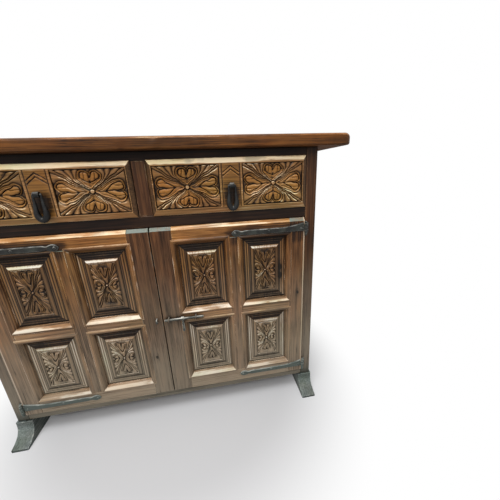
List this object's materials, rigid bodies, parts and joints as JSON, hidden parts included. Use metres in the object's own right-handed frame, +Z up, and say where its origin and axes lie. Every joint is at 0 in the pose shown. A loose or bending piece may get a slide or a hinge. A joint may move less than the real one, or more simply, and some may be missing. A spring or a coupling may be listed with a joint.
{
  "type": "carved credenza",
  "caption": "Dark stained wooden credenza with carved drawers over panelled doors on strap hinges, a sliding iron latch, an overhanging top and runner feet.",
  "frame": {"origin": "on the floor, under the middle of the outline of top and feet", "axes": "+X to the viewer's right along the front, +Y to the back, +Z up"},
  "size_m": [1.136, 0.461, 0.881],
  "materials": {
    "stained_wood": "waxed dark stain",
    "carved_wood": "waxed dark stain, worn high spots",
    "inner_wood": "unfinished",
    "iron": "blackened, hand forged"
  },
  "bodies": {
    "carcase": {"back_boards": "inner_wood", "bottom_rail": "stained_wood", "cabinet_floor": "inner_wood", "drawer_deck": "inner_wood", "drawer_divider": "stained_wood", "drawer_guide": "inner_wood", "foot_left": "stained_wood", "foot_right": "stained_wood", "frieze_rail": "stained_wood", "front_post_left": "stained_wood", "front_post_right": "stained_wood", "hinge_leaves": "iron", "hinge_pins": "iron", "leaf_nails": "iron", "rear_posts": "stained_wood", "rear_top_rail": "inner_wood", "shelf": "inner_wood", "shelf_cleats": "inner_wood", "side_panels_left": "stained_wood", "side_panels_right": "stained_wood", "side_rails_left": "stained_wood", "side_rails_right": "stained_wood", "top_slab": "stained_wood", "waist_rail": "stained_wood"},
    "left_drawer": {"left_drawer_back": "inner_wood", "left_drawer_bottom": "inner_wood", "left_drawer_front": "carved_wood", "left_drawer_sides": "inner_wood", "left_pull_post": "iron"},
    "left_pull": {"left_pull_bail": "iron"},
    "left_door": {"latch_keeper": "iron", "left_door_bottom_rail": "stained_wood", "left_door_hinge_stile": "stained_wood", "left_door_lock_stile": "stained_wood", "left_door_mid_rails": "stained_wood", "left_door_mouldings": "stained_wood", "left_door_muntin": "stained_wood", "left_door_panels": "carved_wood", "left_door_strap_nails": "iron", "left_door_straps": "iron", "left_door_top_rail": "stained_wood"},
    "right_drawer": {"right_drawer_back": "inner_wood", "right_drawer_bottom": "inner_wood", "right_drawer_front": "carved_wood", "right_drawer_sides": "inner_wood", "right_pull_post": "iron"},
    "right_pull": {"right_pull_bail": "iron"},
    "right_door": {"latch_staples": "iron", "right_door_bottom_rail": "stained_wood", "right_door_hinge_stile": "stained_wood", "right_door_lock_stile": "stained_wood", "right_door_mid_rails": "stained_wood", "right_door_mouldings": "stained_wood", "right_door_muntin": "stained_wood", "right_door_panels": "carved_wood", "right_door_strap_nails": "iron", "right_door_straps": "iron", "right_door_top_rail": "stained_wood"},
    "latch_bolt_body": {"latch_bolt": "iron"},
    "latch_drop_body": {"latch_drop": "iron"}
  },
  "joints": [
    {"name": "left_drawer_slide", "type": "slide", "parent": "carcase", "child": "left_drawer", "axis": [0, -1, 0], "range_m": [0, 0.27]},
    {"name": "left_pull_swing", "type": "hinge", "parent": "left_drawer", "child": "left_pull", "pos_m": [-0.235, -0.2015, 0.7575], "axis": [-1, 0, 0], "range_deg": [-5, 110]},
    {"name": "left_door_swing", "type": "hinge", "parent": "carcase", "child": "left_door", "pos_m": [-0.45175, -0.1935, 0.37325], "axis": [0, 0, -1], "range_deg": [0, 165]},
    {"name": "right_drawer_slide", "type": "slide", "parent": "carcase", "child": "right_drawer", "axis": [0, -1, 0], "range_m": [0, 0.27]},
    {"name": "right_pull_swing", "type": "hinge", "parent": "right_drawer", "child": "right_pull", "pos_m": [0.235, -0.2015, 0.7575], "axis": [-1, 0, 0], "range_deg": [-5, 110]},
    {"name": "right_door_swing", "type": "hinge", "parent": "carcase", "child": "right_door", "pos_m": [0.45175, -0.1935, 0.37325], "axis": [0, 0, 1], "range_deg": [0, 165]},
    {"name": "latch_bolt_slide", "type": "slide", "parent": "right_door", "child": "latch_bolt_body", "axis": [-1, 0, 0], "range_m": [0, 0.028]},
    {"name": "latch_drop_swing", "type": "hinge", "parent": "latch_bolt_body", "child": "latch_drop_body", "pos_m": [0.0595, -0.1955, 0.3685], "axis": [-1, 0, 0], "range_deg": [0, 110]}
  ]
}
